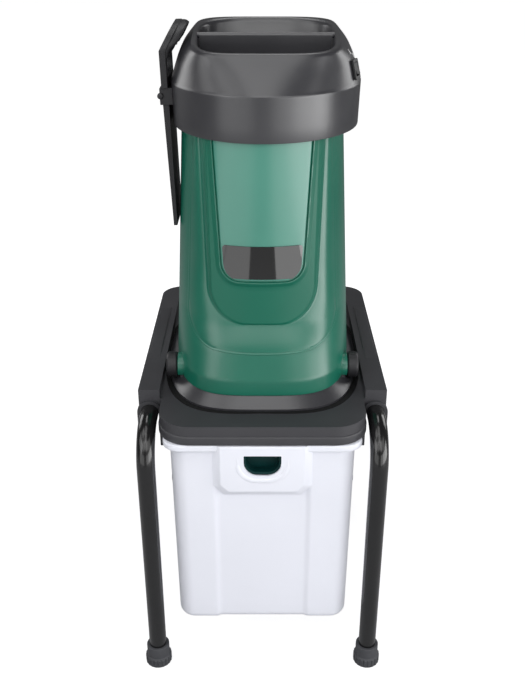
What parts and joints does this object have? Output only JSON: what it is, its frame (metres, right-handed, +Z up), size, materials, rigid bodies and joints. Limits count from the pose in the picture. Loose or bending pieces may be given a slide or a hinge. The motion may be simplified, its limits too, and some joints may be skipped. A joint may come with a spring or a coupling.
{
  "type": "garden shredder",
  "caption": "Electric garden shredder with a green moulded housing, dark hood and feed funnel, on a black tube stand over a white pull-out collection box",
  "frame": {"origin": "centre of the footprint, on the floor under the feet and wheels", "axes": "+Z is up, -Y is the front with the box lock, +X is the side with the switch"},
  "size_m": [0.3928, 0.5344, 0.9879],
  "materials": {
    "dark_plastic": "fine-grained moulded",
    "black_plastic": "satin moulded",
    "black_tube": "gloss black paint",
    "foot_rubber": "matt rubber",
    "green_plastic": "smooth gloss green",
    "gloss_plate": "bare gloss plate",
    "white_plastic": "smooth white",
    "steel": "machined",
    "alloy": "cast and milled",
    "red_plastic": "gloss red"
  },
  "bodies": {
    "stand": {"base_deck": "dark_plastic", "leg_tube_left": "black_tube", "leg_tube_right": "black_tube", "foot_left": "foot_rubber", "foot_right": "foot_rubber", "wheel_axle": "steel", "axle_caps": "black_plastic", "box_interlock": "black_plastic", "lower_housing": "dark_plastic", "hinge_pin": "steel"},
    "upper_housing": {"main_housing": "green_plastic", "front_cover": "green_plastic", "trim_plate": "gloss_plate", "hood": "dark_plastic", "feed_guard": "dark_plastic", "feed_chute": "black_plastic", "motor_plate": "alloy", "motor_can": "steel", "stator_core": "steel", "bearing_lower": "steel", "bearing_upper": "steel", "counter_blade": "steel", "plunger_holder": "black_plastic", "switch_housing": "black_plastic", "power_inlet": "black_plastic"},
    "rotor": {"rotor_shaft": "steel", "cooling_fan": "black_plastic", "blade_disc": "steel", "blades": "steel", "blade_screws": "steel", "disc_bolt": "steel"},
    "clamp_left": {"knob_left": "black_plastic", "clamp_stud_left": "steel"},
    "clamp_right": {"knob_right": "black_plastic", "clamp_stud_right": "steel"},
    "box": {"collection_box": "white_plastic", "lock_housing": "white_plastic"},
    "lock": {"box_lock": "green_plastic"},
    "pusher": {"plunger": "black_plastic"},
    "roller_left": {"wheel_left": "black_plastic"},
    "roller_right": {"wheel_right": "black_plastic"},
    "rocker": {"switch_rocker": "black_plastic"},
    "reset": {"reset_button": "red_plastic"}
  },
  "joints": [
    {"name": "housing_tilt", "type": "hinge", "parent": "stand", "child": "upper_housing", "pos_m": [0, 0.199, 0.489], "axis": [-1, 0, 0], "range_deg": [0, 85]},
    {"name": "rotor_spin", "type": "hinge", "parent": "upper_housing", "child": "rotor", "pos_m": [0, 0.045, 0.47], "axis": [0, 0, 1], "continuous": true},
    {"name": "clamp_left_turn", "type": "hinge", "parent": "upper_housing", "child": "clamp_left", "pos_m": [-0.142, -0.107, 0.491], "axis": [-1, 0, 0], "continuous": true},
    {"name": "clamp_right_turn", "type": "hinge", "parent": "upper_housing", "child": "clamp_right", "pos_m": [0.142, -0.107, 0.491], "axis": [1, 0, 0], "continuous": true},
    {"name": "box_slide", "type": "slide", "parent": "stand", "child": "box", "axis": [0, -1, 0], "range_m": [0, 0.4]},
    {"name": "lock_slide", "type": "slide", "parent": "box", "child": "lock", "axis": [0, 0, 1], "range_m": [-0.006, 0.004]},
    {"name": "plunger_lift", "type": "slide", "parent": "upper_housing", "child": "pusher", "axis": [-0.0244, 0, 0.9997], "range_m": [0, 0.22]},
    {"name": "roller_left_spin", "type": "hinge", "parent": "stand", "child": "roller_left", "pos_m": [-0.1424, 0.197, 0.07], "axis": [1, 0, 0], "continuous": true},
    {"name": "roller_right_spin", "type": "hinge", "parent": "stand", "child": "roller_right", "pos_m": [0.1424, 0.197, 0.07], "axis": [1, 0, 0], "continuous": true},
    {"name": "switch_rock", "type": "hinge", "parent": "upper_housing", "child": "rocker", "pos_m": [0.12921, -0.04289, 0.93236], "axis": [0.3256, 0.9455, 0], "range_deg": [0, 16]},
    {"name": "reset_press", "type": "slide", "parent": "upper_housing", "child": "reset", "axis": [0, -0.9934, -0.1144], "range_m": [0, 0.003], "stiffness_N_per_m": 600}
  ]
}
